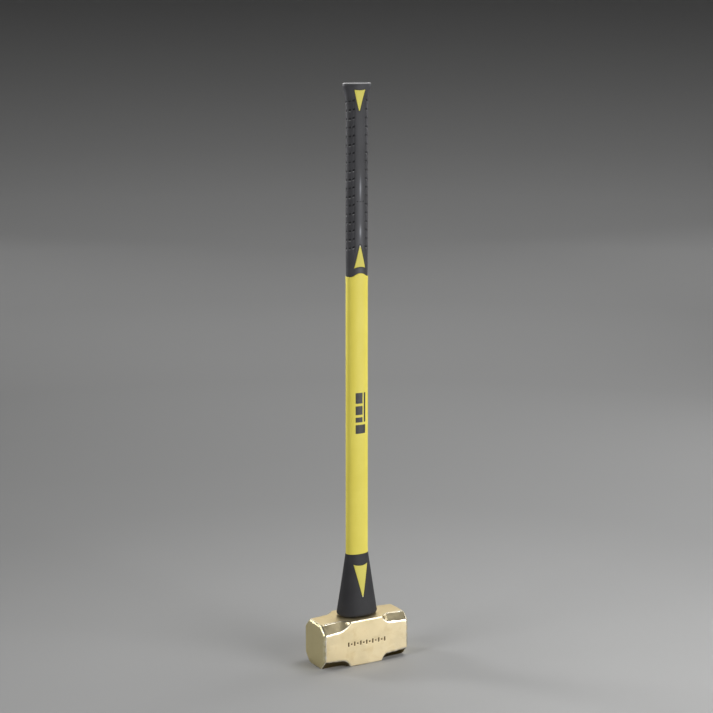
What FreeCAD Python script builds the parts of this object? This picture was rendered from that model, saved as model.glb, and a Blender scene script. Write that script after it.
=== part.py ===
import FreeCAD, Part
import Sketcher
import math
import os
from FreeCAD import Placement, Rotation, Vector

# Two-faced brass sledgehammer with a moulded fibreglass-cored handle.
# Frame: +Z up the handle, X along the head from striking face to striking
# face, -Y is the front cheek. Origin at the middle of the head's underside.

doc = FreeCAD.newDocument("sledgehammer")

# ---------------------------------------------------------------- dimensions
sheet = doc.addObject("Spreadsheet::Sheet", "dims")
ROWS = [
    ("overall_height", 914.0, "underside of the head to the top of the butt"),
    # head
    ("head_length", 155.0, "striking face to striking face"),
    ("head_width", 64.5, "cheek to cheek"),
    ("head_height", 74.5, "underside to top"),
    ("long_edge_radius", 2.0, "rounding of the four long edges"),
    ("face_bevel", 3.0, "bevel round each striking face"),
    ("cheek_half", 28.3, "half length of the full-section middle"),
    ("scoop_radius", 16.0, "run-out radius of each long chamfer"),
    ("chamfer_depth", 8.6, "depth of the chamfer where the run-out ends"),
    ("chamfer_fall", 2.0, "extra depth of the chamfer at the striking face"),
    ("chamfer_tilt", 45.0, "angle of the chamfer round the long axis"),
    # eye
    ("eye_mouth_major", 17.8, "semi-axis at the handle side"),
    ("eye_mouth_minor", 11.2, "semi-axis at the handle side"),
    ("eye_far_major", 22.0, "semi-axis at the underside"),
    ("eye_far_minor", 15.5, "semi-axis at the underside"),
    ("eye_edge", 1.2, "chamfer on the eye's lower edge"),
    ("bond_recess", 1.5, "rod and bond end short of the underside"),
    ("dam_bottom", 72.0, "lower face of the dam ring"),
    # fibreglass rod
    ("rod_major", 14.5, "semi-axis"),
    ("rod_minor", 7.8, "semi-axis"),
    ("rod_top", 905.0, "upper end of the rod"),
    # jacket and guard
    ("handle_bottom", 76.0, "lower face of the jacket and guard"),
    ("guard_top", 176.0, "upper edge of the guard"),
    ("guard_base_major", 34.1, "semi-axis near the lower edge"),
    ("guard_base_minor", 23.8, "semi-axis near the lower edge"),
    ("guard_top_major", 19.9, "semi-axis just under the upper edge"),
    ("guard_top_minor", 12.2, "semi-axis just under the upper edge"),
    ("guard_lip", 4.0, "rounding of the lower edge"),
    ("flange_base_major", 29.6, "jacket inside the guard, lower end"),
    ("flange_base_minor", 19.4, "jacket inside the guard, lower end"),
    ("shaft_low_major", 19.0, "shaft semi-axis above the guard"),
    ("shaft_low_minor", 11.5, "shaft semi-axis above the guard"),
    ("shaft_high_major", 18.5, "shaft semi-axis below the grip"),
    ("shaft_high_minor", 11.2, "shaft semi-axis below the grip"),
    ("shaft_flare", 0.35, "swell of the shaft where it meets the rubber"),
    ("neck_major", 16.3, "jacket inside the grip"),
    ("neck_minor", 9.3, "jacket inside the grip"),
    ("jacket_top", 908.5, "closed upper end of the jacket"),
    # grip
    ("grip_bottom", 619.0, "lower edge of the grip at its flanks"),
    ("grip_arch", 5.6, "rise of the lower edge at front and back"),
    ("grip_arch_half", 15.0, "half width of that rise"),
    ("grip_low_major", 18.0, "grip semi-axis at its lower edge"),
    ("grip_low_minor", 11.0, "grip semi-axis at its lower edge"),
    ("grip_mid_major", 18.35, "grip semi-axis in the middle"),
    ("grip_mid_minor", 11.3, "grip semi-axis in the middle"),
    ("butt_major", 24.2, "semi-axis of the butt"),
    ("butt_minor", 15.4, "semi-axis of the butt"),
    # windows
    ("window_g_base", 160.4, "guard window, base corners"),
    ("window_g_tip", 107.2, "guard window, tip"),
    ("window_g_half", 12.6, "guard window, half width at the base"),
    ("window_g_dip", 2.4, "guard window, hollow of the base"),
    ("window_l_base", 632.4, "lower grip window, base corners"),
    ("window_l_tip", 667.8, "lower grip window, tip"),
    ("window_l_half", 9.9, "lower grip window, half width at the base"),
    ("window_l_dip", 2.0, "lower grip window, hollow of the base"),
    ("window_u_base", 903.8, "upper grip window, base corners"),
    ("window_u_tip", 872.0, "upper grip window, tip"),
    ("window_u_half", 9.3, "upper grip window, half width at the base"),
    ("window_u_dip", 0.9, "upper grip window, hollow of the base"),
    ("window_tip_half", 1.0, "half width of every window's tip"),
    # print on the shaft
    ("ink_thick", 0.12, "thickness of the printed blocks"),
    ("ink_bottom", 372.0, "lower end of the print"),
]
DIM = {}
for i, (name, value, note) in enumerate(ROWS, start=1):
    sheet.set("A%d" % i, name)
    sheet.set("B%d" % i, repr(value))
    sheet.set("C%d" % i, note)
    sheet.setAlias("B%d" % i, name)
    DIM[name] = value
doc.recompute()


def d(name):
    """Value of a sheet cell."""
    return float(sheet.get(name))


# ------------------------------------------------------------------- helpers
def origin_plane(body, role):
    for feature in body.Origin.OriginFeatures:
        if feature.Role == role:
            return feature
    raise RuntimeError("no plane " + role)


def new_sketch(body, name, role, offset=None):
    sketch = body.newObject("Sketcher::SketchObject", name)
    sketch.AttachmentSupport = [(origin_plane(body, role), "")]
    sketch.MapMode = "FlatFace"
    if offset is not None:
        sketch.AttachmentOffset = offset
    return sketch


def ellipse_sketch(body, name, major, minor, offset=None):
    """Horizontal ellipse, major axis along X, sizes bound to two cells."""
    sketch = new_sketch(body, name, "XY_Plane", offset)
    a, b = d(major), d(minor)
    g = sketch.addGeometry(Part.Ellipse(Vector(a, 0, 0), Vector(0, b, 0), Vector(0, 0, 0)), False)
    sketch.exposeInternalGeometry(g)
    sketch.addConstraint(Sketcher.Constraint("Coincident", g, 3, -1, 1))
    major_line, minor_line = g + 1, g + 2
    sketch.addConstraint(Sketcher.Constraint("Horizontal", major_line))
    c = sketch.addConstraint(Sketcher.Constraint("Distance", major_line, 2 * a))
    sketch.renameConstraint(c, "across_major")
    c = sketch.addConstraint(Sketcher.Constraint("Distance", minor_line, 2 * b))
    sketch.renameConstraint(c, "across_minor")
    sketch.setExpression("Constraints.across_major", "2 * dims.%s" % major)
    sketch.setExpression("Constraints.across_minor", "2 * dims.%s" % minor)
    return sketch


def oval(name, z, major, minor):
    """Free ellipse at height z; all three are expressions on the sheet."""
    obj = doc.addObject("Part::Ellipse", name)
    obj.MajorRadius = 500.0
    obj.MinorRadius = 1.0
    obj.setExpression("MajorRadius", major)
    obj.setExpression("MinorRadius", minor)
    obj.setExpression("Placement.Base.z", z)
    return obj


def oval_loft(name, stations):
    """Solid through a stack of ellipses, straight from one to the next."""
    loft = doc.addObject("Part::Loft", name)
    loft.Sections = [oval("%s_%02d" % (name, i), *s) for i, s in enumerate(stations)]
    loft.Solid = True
    loft.Ruled = True
    return loft


def front_sketch(name):
    """Free sketch in the XZ plane (sketch x = X, sketch y = Z)."""
    sketch = doc.addObject("Sketcher::SketchObject", name)
    sketch.Placement = Placement(Vector(0, 0, 0), Rotation(Vector(1, 0, 0), 90))
    return sketch


def through(name, sketch, half=60.0):
    """Prism of a front sketch, right through the object along Y."""
    prism = doc.addObject("Part::Extrusion", name)
    prism.Base = sketch
    prism.DirMode = "Normal"
    prism.LengthFwd = half
    prism.LengthRev = half
    prism.Solid = True
    return prism


def fuse(name, shapes):
    obj = doc.addObject("Part::MultiFuse", name)
    obj.Shapes = shapes
    return obj


def common(name, a, b):
    obj = doc.addObject("Part::MultiCommon", name)
    obj.Shapes = [a, b]
    return obj


def cut(name, base, tool):
    obj = doc.addObject("Part::Cut", name)
    obj.Base = base
    obj.Tool = tool
    return obj


def slab(name, low, high):
    """Wide box between two heights."""
    box = doc.addObject("Part::Box", name)
    box.Length = 200.0
    box.Width = 200.0
    box.Placement = Placement(Vector(-100, -100, 0), Rotation())
    box.setExpression("Height", "(%s) - (%s)" % (high, low))
    box.setExpression("Placement.Base.z", low)
    return box


# ---------------------------------------------------------------------- head
# Cast and ground brass. The middle keeps the full rectangular section; all
# four long edges are cut back towards both striking faces by flats that end
# in a scooped run-out, so each striking face is an octagon.
head = doc.addObject("PartDesign::Body", "head")
head.Label = "head"

block_sketch = new_sketch(head, "head_section", "YZ_Plane")
w2, h2 = d("head_width") / 2, d("head_height") / 2
corners = [(-w2, -h2), (w2, -h2), (w2, h2), (-w2, h2)]
for i in range(4):
    p, q = corners[i], corners[(i + 1) % 4]
    block_sketch.addGeometry(Part.LineSegment(Vector(p[0], p[1], 0), Vector(q[0], q[1], 0)), False)
for i in range(4):
    block_sketch.addConstraint(Sketcher.Constraint("Coincident", i, 2, (i + 1) % 4, 1))
block_sketch.addConstraint(Sketcher.Constraint("Horizontal", 0))
block_sketch.addConstraint(Sketcher.Constraint("Horizontal", 2))
block_sketch.addConstraint(Sketcher.Constraint("Vertical", 1))
block_sketch.addConstraint(Sketcher.Constraint("Vertical", 3))
block_sketch.addConstraint(Sketcher.Constraint("Symmetric", 0, 1, 2, 1, -1, 1))
c = block_sketch.addConstraint(Sketcher.Constraint("DistanceX", 0, 1, 0, 2, 2 * w2))
block_sketch.renameConstraint(c, "across")
c = block_sketch.addConstraint(Sketcher.Constraint("DistanceY", 1, 1, 1, 2, 2 * h2))
block_sketch.renameConstraint(c, "up")
block_sketch.setExpression("Constraints.across", "dims.head_width")
block_sketch.setExpression("Constraints.up", "dims.head_height")

block = head.newObject("PartDesign::Pad", "head_block")
block.Profile = block_sketch
block.Midplane = True
block.setExpression("Length", "dims.head_length")
doc.recompute()

long_edges = []
for i, edge in enumerate(block.Shape.Edges, start=1):
    box = edge.BoundBox
    if box.XLength > 0.9 * d("head_length"):
        long_edges.append("Edge%d" % i)
rounds = head.newObject("PartDesign::Fillet", "head_long_edges")
rounds.Base = (block, long_edges)
rounds.setExpression("Radius", "dims.long_edge_radius")
doc.recompute()
volume_block = rounds.Shape.Volume

# One run-out flat: profile in the plane through the long axis direction and
# the diagonal of the front upper edge, x along the head, y out of the edge.
tilt = math.radians(d("chamfer_tilt"))
diagonal = Vector(0, -math.cos(tilt), math.sin(tilt))
along = Vector(1, 0, 0)
normal = along.cross(diagonal)
matrix = FreeCAD.Matrix(along.x, diagonal.x, normal.x, 0,
                        along.y, diagonal.y, normal.y, 0,
                        along.z, diagonal.z, normal.z, 0,
                        0, 0, 0, 1)
offset = Placement(matrix)
offset.Base = Vector(0, -w2, h2)
flat_sketch = new_sketch(head, "head_flat_profile", "XY_Plane", offset)
flat_sketch.setExpression("AttachmentOffset.Base.y", "-dims.head_width / 2")
flat_sketch.setExpression("AttachmentOffset.Base.z", "dims.head_height / 2")
r = d("scoop_radius")
depth = d("chamfer_depth")
reach = d("head_length") / 2 + 5.0
start = d("cheek_half")
tangent_x = start + math.sqrt(r * r - (r - depth) ** 2)
fall = d("chamfer_fall")
end_depth = depth + fall
top = 14.0
P = [Vector(reach, top, 0), Vector(reach, -end_depth, 0), Vector(tangent_x, -depth, 0),
     Vector(tangent_x - r, -depth + r, 0), Vector(tangent_x - r, top, 0)]
flat_sketch.addGeometry(Part.LineSegment(P[0], P[1]), False)                                   # 0
flat_sketch.addGeometry(Part.LineSegment(P[1], P[2]), False)                                   # 1
flat_sketch.addGeometry(Part.ArcOfCircle(Part.Circle(Vector(tangent_x, -depth + r, 0), Vector(0, 0, 1), r),
                                         math.pi, 1.5 * math.pi), False)                        # 2
flat_sketch.addGeometry(Part.LineSegment(P[3], P[4]), False)                                   # 3
flat_sketch.addGeometry(Part.LineSegment(P[4], P[0]), False)                                   # 4
flat_sketch.addConstraint(Sketcher.Constraint("Coincident", 0, 2, 1, 1))
flat_sketch.addConstraint(Sketcher.Constraint("Coincident", 1, 2, 2, 2))
flat_sketch.addConstraint(Sketcher.Constraint("Coincident", 2, 1, 3, 1))
flat_sketch.addConstraint(Sketcher.Constraint("Coincident", 3, 2, 4, 1))
flat_sketch.addConstraint(Sketcher.Constraint("Coincident", 4, 2, 0, 1))
flat_sketch.addConstraint(Sketcher.Constraint("Vertical", 0))
flat_sketch.addConstraint(Sketcher.Constraint("Vertical", 3))
flat_sketch.addConstraint(Sketcher.Constraint("Horizontal", 4))
c = flat_sketch.addConstraint(Sketcher.Constraint("Radius", 2, r))
flat_sketch.renameConstraint(c, "scoop")
flat_sketch.setExpression("Constraints.scoop", "dims.scoop_radius")
c = flat_sketch.addConstraint(Sketcher.Constraint("DistanceX", -1, 1, 1, 2, tangent_x))
flat_sketch.renameConstraint(c, "floor_start")
flat_sketch.setExpression(
    "Constraints.floor_start",
    "dims.cheek_half + sqrt(dims.scoop_radius ^ 2 - (dims.scoop_radius - dims.chamfer_depth) ^ 2)")
c = flat_sketch.addConstraint(Sketcher.Constraint("DistanceY", 1, 2, -1, 1, depth))
flat_sketch.renameConstraint(c, "floor_depth")
flat_sketch.setExpression("Constraints.floor_depth", "dims.chamfer_depth")
c = flat_sketch.addConstraint(Sketcher.Constraint("DistanceX", -1, 1, 1, 1, reach))
flat_sketch.renameConstraint(c, "floor_end")
flat_sketch.setExpression("Constraints.floor_end", "dims.head_length / 2 + 5")
c = flat_sketch.addConstraint(Sketcher.Constraint("DistanceY", 1, 1, -1, 1, end_depth))
flat_sketch.renameConstraint(c, "end_depth")
flat_sketch.setExpression("Constraints.end_depth", "dims.chamfer_depth + dims.chamfer_fall")
flat_sketch.addConstraint(Sketcher.Constraint("Vertical", 2, 3, 2, 2))
flat_sketch.addConstraint(Sketcher.Constraint("Horizontal", 2, 1, 2, 3))
c = flat_sketch.addConstraint(Sketcher.Constraint("DistanceY", -1, 1, 4, 1, top))

flat_pocket = head.newObject("PartDesign::Pocket", "head_flat")
flat_pocket.Profile = flat_sketch
flat_pocket.Midplane = True
flat_pocket.Length = 60.0
doc.recompute()
volume_one = flat_pocket.Shape.Volume
if volume_one > volume_block - 500.0:
    raise RuntimeError("the run-out flat cuts nothing")

flats = head.newObject("PartDesign::MultiTransform", "head_flats")
flats.Originals = [flat_pocket]
mirrors = []
for name, role in (("head_flats_ends", "YZ_Plane"), ("head_flats_cheeks", "XZ_Plane"), ("head_flats_levels", "XY_Plane")):
    mirror = head.newObject("PartDesign::Mirrored", name)
    mirror.MirrorPlane = (origin_plane(head, role), [""])
    mirrors.append(mirror)
flats.Transformations = mirrors
head.Tip = flats
doc.recompute()
removed = (volume_block - flats.Shape.Volume) / (volume_block - volume_one)
if abs(removed - 8.0) > 0.05:
    raise RuntimeError("expected eight run-out flats, got %.2f" % removed)

face_edges = []
for i, edge in enumerate(flats.Shape.Edges, start=1):
    box = edge.BoundBox
    if box.XLength < 0.01 and abs(abs(box.XMin) - d("head_length") / 2) < 0.01:
        face_edges.append("Edge%d" % i)
bevel = head.newObject("PartDesign::Chamfer", "head_face_bevels")
bevel.Base = (flats, face_edges)
bevel.setExpression("Size", "dims.face_bevel")
doc.recompute()

low = ellipse_sketch(head, "eye_far_section", "eye_far_major", "eye_far_minor")
low.AttachmentOffset = Placement(Vector(0, 0, -h2), Rotation())
low.setExpression("AttachmentOffset.Base.z", "-dims.head_height / 2")
high = ellipse_sketch(head, "eye_mouth_section", "eye_mouth_major", "eye_mouth_minor")
high.AttachmentOffset = Placement(Vector(0, 0, h2), Rotation())
high.setExpression("AttachmentOffset.Base.z", "dims.head_height / 2")
eye = head.newObject("PartDesign::SubtractiveLoft", "head_eye")
eye.Profile = low
eye.Sections = [high]
eye.Ruled = True
doc.recompute()

eye_edges = []
for i, edge in enumerate(eye.Shape.Edges, start=1):
    box = edge.BoundBox
    if (box.ZLength < 0.01 and abs(box.ZMin + h2) < 0.01
            and abs(box.XLength - 2 * d("eye_far_major")) < 0.2):
        eye_edges.append("Edge%d" % i)
if not eye_edges:
    raise RuntimeError("the eye's lower edge was not found")
eye_round = head.newObject("PartDesign::Chamfer", "head_eye_edge")
eye_round.Base = (eye, eye_edges)
eye_round.setExpression("Size", "dims.eye_edge")
head.Tip = eye_round
head.setExpression("Placement.Base.z", "dims.head_height / 2")
doc.recompute()

# ------------------------------------------------------------------ core rod
# Pultruded fibreglass, one oval section from the eye to the butt.
core_rod = doc.addObject("PartDesign::Body", "core_rod")
core_rod.Label = "core_rod"
rod_section = ellipse_sketch(core_rod, "rod_section", "rod_major", "rod_minor")
rod_pad = core_rod.newObject("PartDesign::Pad", "rod_pad")
rod_pad.Profile = rod_section
rod_pad.setExpression("Length", "dims.rod_top - dims.bond_recess")
core_rod.setExpression("Placement.Base.z", "dims.bond_recess")
doc.recompute()

# ------------------------------------------------------ bond and dam in the eye
plug = oval_loft("eye_space", [
    ("0 mm", "dims.eye_far_major", "dims.eye_far_minor"),
    ("dims.head_height", "dims.eye_mouth_major", "dims.eye_mouth_minor"),
])
plug_bond = common("eye_space_bond", plug, slab("bond_slab", "dims.bond_recess", "dims.dam_bottom"))
eye_epoxy = cut("eye_epoxy", plug_bond, core_rod)
eye_epoxy.Label = "eye_epoxy"

plug_dam = common("eye_space_dam", plug, slab("dam_slab", "dims.dam_bottom", "dims.head_height"))
dam_top = oval_loft("dam_above_head", [
    ("dims.head_height", "dims.eye_mouth_major", "dims.eye_mouth_minor"),
    ("dims.handle_bottom", "dims.eye_mouth_major", "dims.eye_mouth_minor"),
])
dam_full = fuse("dam_full", [plug_dam, dam_top])
eye_dam = cut("eye_dam", dam_full, core_rod)
eye_dam.Label = "eye_dam"

# ----------------------------------------------------- outer shapes of the handle
# Guard: a flared collar with a rounded lower lip.
guard_stations = []
for k in range(4):
    t = math.radians(30.0 * k)
    guard_stations.append((
        "dims.handle_bottom + dims.guard_lip * %.6f" % (1 - math.cos(t)),
        "dims.guard_base_major - dims.guard_lip * %.6f" % (1 - math.sin(t)),
        "dims.guard_base_minor - dims.guard_lip * %.6f" % (1 - math.sin(t))))
guard_stations += [
    ("dims.guard_top - 1.2", "dims.guard_top_major", "dims.guard_top_minor"),
    ("dims.guard_top - 0.35", "dims.guard_top_major - 0.25", "dims.guard_top_minor - 0.2"),
    ("dims.guard_top", "dims.guard_top_major - 0.75", "dims.guard_top_minor - 0.6"),
]
guard_outer = oval_loft("guard_outer", guard_stations)

# Shaft: slight taper, with a small swell where it meets each rubber part.
shaft_stations = [
    ("dims.guard_top", "dims.shaft_low_major + dims.shaft_flare", "dims.shaft_low_minor + dims.shaft_flare"),
    ("dims.guard_top + 9", "dims.shaft_low_major", "dims.shaft_low_minor"),
    ("dims.grip_bottom - 9", "dims.shaft_high_major", "dims.shaft_high_minor"),
    ("dims.grip_bottom", "dims.shaft_high_major + dims.shaft_flare", "dims.shaft_high_minor + dims.shaft_flare"),
    ("dims.grip_bottom + dims.grip_arch + 1", "dims.shaft_high_major + dims.shaft_flare", "dims.shaft_high_minor + dims.shaft_flare"),
]
shaft_outer = oval_loft("shaft_outer", shaft_stations)

# Grip: nearly constant section, widening to the butt, rounded rim and top.
span_major = "(dims.butt_major - dims.grip_mid_major)"
span_minor = "(dims.butt_minor - dims.grip_mid_minor)"
grip_stations = [
    ("dims.grip_bottom - 2", "dims.grip_low_major", "dims.grip_low_minor"),
    ("dims.grip_bottom + 10", "dims.grip_low_major + 0.15", "dims.grip_low_minor + 0.1"),
    ("dims.grip_bottom + 45", "dims.grip_mid_major", "dims.grip_mid_minor"),
    ("dims.overall_height - 60", "dims.grip_mid_major - 0.2", "dims.grip_mid_minor - 0.1"),
]
for drop, share in ((34.0, 0.06), (26.0, 0.17), (19.0, 0.33), (13.0, 0.53), (8.5, 0.76), (5.5, 0.94), (3.6, 1.0)):
    grip_stations.append(("dims.overall_height - %.2f" % drop,
                          "dims.grip_mid_major + %s * %.3f" % (span_major, share),
                          "dims.grip_mid_minor + %s * %.3f" % (span_minor, share)))
for k in range(1, 4):
    t = math.radians(30.0 * k)
    grip_stations.append(("dims.overall_height - 2.6 * %.6f" % (1 - math.sin(t)),
                          "dims.butt_major - 3.0 * %.6f" % (1 - math.cos(t)),
                          "dims.butt_minor - 3.0 * %.6f" % (1 - math.cos(t))))
grip_outer_full = oval_loft("grip_outer_full", grip_stations)

# Everything above the grip's lower edge: level at the flanks, arched at the
# front and back.
edge_sketch = front_sketch("grip_edge_profile")
gb, ga, gh = d("grip_bottom"), d("grip_arch"), d("grip_arch_half")
rr = ((gh / 2) ** 2 + (ga / 2) ** 2) / ga          # radius of each S arc
sweep = 2 * math.atan2(ga, gh)                     # angle that each S arc turns
q = math.pi / 2
E = [Vector(-60, gb + 400, 0), Vector(-60, gb, 0), Vector(-gh, gb, 0), Vector(gh, gb, 0),
     Vector(60, gb, 0), Vector(60, gb + 400, 0)]
edge_sketch.addGeometry(Part.LineSegment(E[0], E[1]), False)
edge_sketch.addGeometry(Part.LineSegment(E[1], E[2]), False)
edge_sketch.addGeometry(Part.ArcOfCircle(Part.Circle(Vector(-gh, gb + rr, 0), Vector(0, 0, 1), rr), -q, -q + sweep), False)
edge_sketch.addGeometry(Part.ArcOfCircle(Part.Circle(Vector(0, gb + ga - rr, 0), Vector(0, 0, 1), rr), q - sweep, q + sweep), False)
edge_sketch.addGeometry(Part.ArcOfCircle(Part.Circle(Vector(gh, gb + rr, 0), Vector(0, 0, 1), rr), -q - sweep, -q), False)
edge_sketch.addGeometry(Part.LineSegment(E[3], E[4]), False)
edge_sketch.addGeometry(Part.LineSegment(E[4], E[5]), False)
edge_sketch.addGeometry(Part.LineSegment(E[5], E[0]), False)
for a, b in (((0, 2), (1, 1)), ((2, 1), (1, 2)), ((2, 2), (3, 2)), ((3, 1), (4, 1)), ((4, 2), (5, 1)), ((5, 2), (6, 1)),
             ((6, 2), (7, 1)), ((7, 2), (0, 1))):
    edge_sketch.addConstraint(Sketcher.Constraint("Coincident", a[0], a[1], b[0], b[1]))
for line in (1, 5):
    edge_sketch.addConstraint(Sketcher.Constraint("Horizontal", line))
for line in (0, 6):
    edge_sketch.addConstraint(Sketcher.Constraint("Vertical", line))
edge_sketch.addConstraint(Sketcher.Constraint("Equal", 2, 3))
edge_sketch.addConstraint(Sketcher.Constraint("Equal", 2, 4))
edge_sketch.addConstraint(Sketcher.Constraint("Symmetric", 1, 2, 5, 1, -2))
edge_sketch.addConstraint(Sketcher.Constraint("Symmetric", 2, 2, 4, 1, -2))
edge_sketch.addConstraint(Sketcher.Constraint("Symmetric", 0, 1, 6, 2, -2))
c = edge_sketch.addConstraint(Sketcher.Constraint("DistanceY", -1, 1, 1, 1, gb))
edge_sketch.renameConstraint(c, "edge_level")
edge_sketch.setExpression("Constraints.edge_level", "dims.grip_bottom")
c = edge_sketch.addConstraint(Sketcher.Constraint("DistanceX", 1, 2, 5, 1, 2 * gh))
edge_sketch.renameConstraint(c, "arch_width")
edge_sketch.setExpression("Constraints.arch_width", "2 * dims.grip_arch_half")
c = edge_sketch.addConstraint(Sketcher.Constraint("DistanceX", 2, 2, -1, 1, gh / 2))
edge_sketch.renameConstraint(c, "joint_out")
edge_sketch.setExpression("Constraints.joint_out", "dims.grip_arch_half / 2")
c = edge_sketch.addConstraint(Sketcher.Constraint("DistanceY", -1, 1, 2, 2, gb + ga / 2))
edge_sketch.renameConstraint(c, "joint_level")
edge_sketch.setExpression("Constraints.joint_level", "dims.grip_bottom + dims.grip_arch / 2")
c = edge_sketch.addConstraint(Sketcher.Constraint("Radius", 2, rr))
edge_sketch.renameConstraint(c, "arch_radius")
edge_sketch.setExpression("Constraints.arch_radius",
                          "(dims.grip_arch_half ^ 2 + dims.grip_arch ^ 2) / (4 * dims.grip_arch)")
edge_sketch.addConstraint(Sketcher.Constraint("DistanceY", 0, 2, 0, 1, 400.0))
edge_sketch.addConstraint(Sketcher.Constraint("DistanceX", 1, 1, -1, 1, 60.0))
doc.recompute()
grip_region = through("grip_region", edge_sketch)


# Windows: long narrow triangles with a hollow base and a blunt tip.
def window(name, prefix):
    sketch = front_sketch(name + "_profile")
    zb, zt = d(prefix + "_base"), d(prefix + "_tip")
    wb, dip, wt = d(prefix + "_half"), d(prefix + "_dip"), d("window_tip_half")
    side = 1.0 if zt > zb else -1.0
    zm = zb + side * dip
    sag = wt / 2
    bow = Part.Arc(Vector(-wb, zb, 0), Vector(0, zm, 0), Vector(wb, zb, 0))
    g0 = sketch.addGeometry(bow, False)
    tips = Part.Arc(Vector(wt, zt - side * sag, 0), Vector(0, zt, 0), Vector(-wt, zt - side * sag, 0))
    g1 = sketch.addGeometry(tips, False)
    g2 = sketch.addGeometry(Part.LineSegment(Vector(-wb, zb, 0), Vector(-wt, zt - side * sag, 0)), False)
    g3 = sketch.addGeometry(Part.LineSegment(Vector(wb, zb, 0), Vector(wt, zt - side * sag, 0)), False)

    def end_near(g, point):
        return 1 if (sketch.getPoint(g, 1) - point).Length < (sketch.getPoint(g, 2) - point).Length else 2

    left_base = end_near(g0, Vector(-wb, zb, 0))
    right_base = end_near(g0, Vector(wb, zb, 0))
    left_tip = end_near(g1, Vector(-wt, zt - side * sag, 0))
    right_tip = end_near(g1, Vector(wt, zt - side * sag, 0))
    sketch.addConstraint(Sketcher.Constraint("Coincident", g0, left_base, g2, 1))
    sketch.addConstraint(Sketcher.Constraint("Coincident", g0, right_base, g3, 1))
    sketch.addConstraint(Sketcher.Constraint("Coincident", g1, left_tip, g2, 2))
    sketch.addConstraint(Sketcher.Constraint("Coincident", g1, right_tip, g3, 2))
    sketch.addConstraint(Sketcher.Constraint("Symmetric", g2, 1, g3, 1, -2))
    sketch.addConstraint(Sketcher.Constraint("Symmetric", g2, 2, g3, 2, -2))
    c = sketch.addConstraint(Sketcher.Constraint("DistanceY", -1, 1, g2, 1, zb))
    sketch.renameConstraint(c, "base_level")
    sketch.setExpression("Constraints.base_level", "dims.%s_base" % prefix)
    c = sketch.addConstraint(Sketcher.Constraint("DistanceX", g2, 1, g3, 1, 2 * wb))
    sketch.renameConstraint(c, "base_width")
    sketch.setExpression("Constraints.base_width", "2 * dims.%s_half" % prefix)
    c = sketch.addConstraint(Sketcher.Constraint("DistanceX", g2, 2, g3, 2, 2 * wt))
    sketch.renameConstraint(c, "tip_width")
    sketch.setExpression("Constraints.tip_width", "2 * dims.window_tip_half")
    c = sketch.addConstraint(Sketcher.Constraint("DistanceY", -1, 1, g2, 2, zt - side * sag))
    sketch.renameConstraint(c, "tip_level")
    sketch.setExpression("Constraints.tip_level", "dims.%s_tip %s dims.window_tip_half / 2" % (prefix, "-" if side > 0 else "+"))
    c = sketch.addConstraint(Sketcher.Constraint("Radius", g0, (wb * wb + dip * dip) / (2 * dip)))
    sketch.renameConstraint(c, "hollow")
    sketch.setExpression("Constraints.hollow", "(dims.%s_half ^ 2 + dims.%s_dip ^ 2) / (2 * dims.%s_dip)" % (prefix, prefix, prefix))
    c = sketch.addConstraint(Sketcher.Constraint("Radius", g1, 1.25 * wt))
    sketch.renameConstraint(c, "tip_round")
    sketch.setExpression("Constraints.tip_round", "1.25 * dims.window_tip_half")
    doc.recompute()
    return through(name, sketch)


window_g = window("window_guard", "window_g")
window_l = window("window_grip_low", "window_l")
window_u = window("window_grip_high", "window_u")

# -------------------------------------------------------------- handle jacket
# Yellow plastic over the rod: a flange inside the guard, the bare shaft, a
# thin neck inside the grip, and raised windows that come up flush with the
# rubber round them.
flange = oval_loft("jacket_flange", [
    ("dims.handle_bottom", "dims.flange_base_major", "dims.flange_base_minor"),
    ("dims.handle_bottom + 4", "dims.flange_base_major", "dims.flange_base_minor"),
    ("dims.guard_top", "dims.neck_major + 0.7", "dims.neck_minor + 0.5"),
    ("dims.guard_top + 4", "dims.neck_major", "dims.neck_minor"),
])
neck = oval_loft("jacket_neck", [
    ("dims.guard_top + 2", "dims.neck_major", "dims.neck_minor"),
    ("dims.jacket_top", "dims.neck_major", "dims.neck_minor"),
])
shaft_zone = cut("jacket_shaft", shaft_outer, grip_region)
grip_body = common("grip_body", grip_outer_full, grip_region)
pad_g = common("jacket_window_guard", guard_outer, window_g)
pad_l = common("jacket_window_low", grip_body, window_l)
pad_u = common("jacket_window_high", grip_body, window_u)
jacket_full = fuse("jacket_full", [flange, neck, shaft_zone, pad_g, pad_l, pad_u])
handle_jacket = cut("handle_jacket", jacket_full, core_rod)
handle_jacket.Label = "handle_jacket"

# ----------------------------------------------------------- rubber parts
guard_open = cut("guard_open", guard_outer, window_g)
guard_shell = cut("guard_shell", guard_open, flange)
overstrike_guard = cut("overstrike_guard", guard_shell, core_rod)
overstrike_guard.Label = "overstrike_guard"

grip_windows = fuse("grip_windows", [window_l, window_u])
grip_open = cut("grip_open", grip_body, grip_windows)
grip_shell = cut("grip_shell", grip_open, neck)
grip = cut("grip", grip_shell, core_rod)
grip.Label = "grip"

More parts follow.
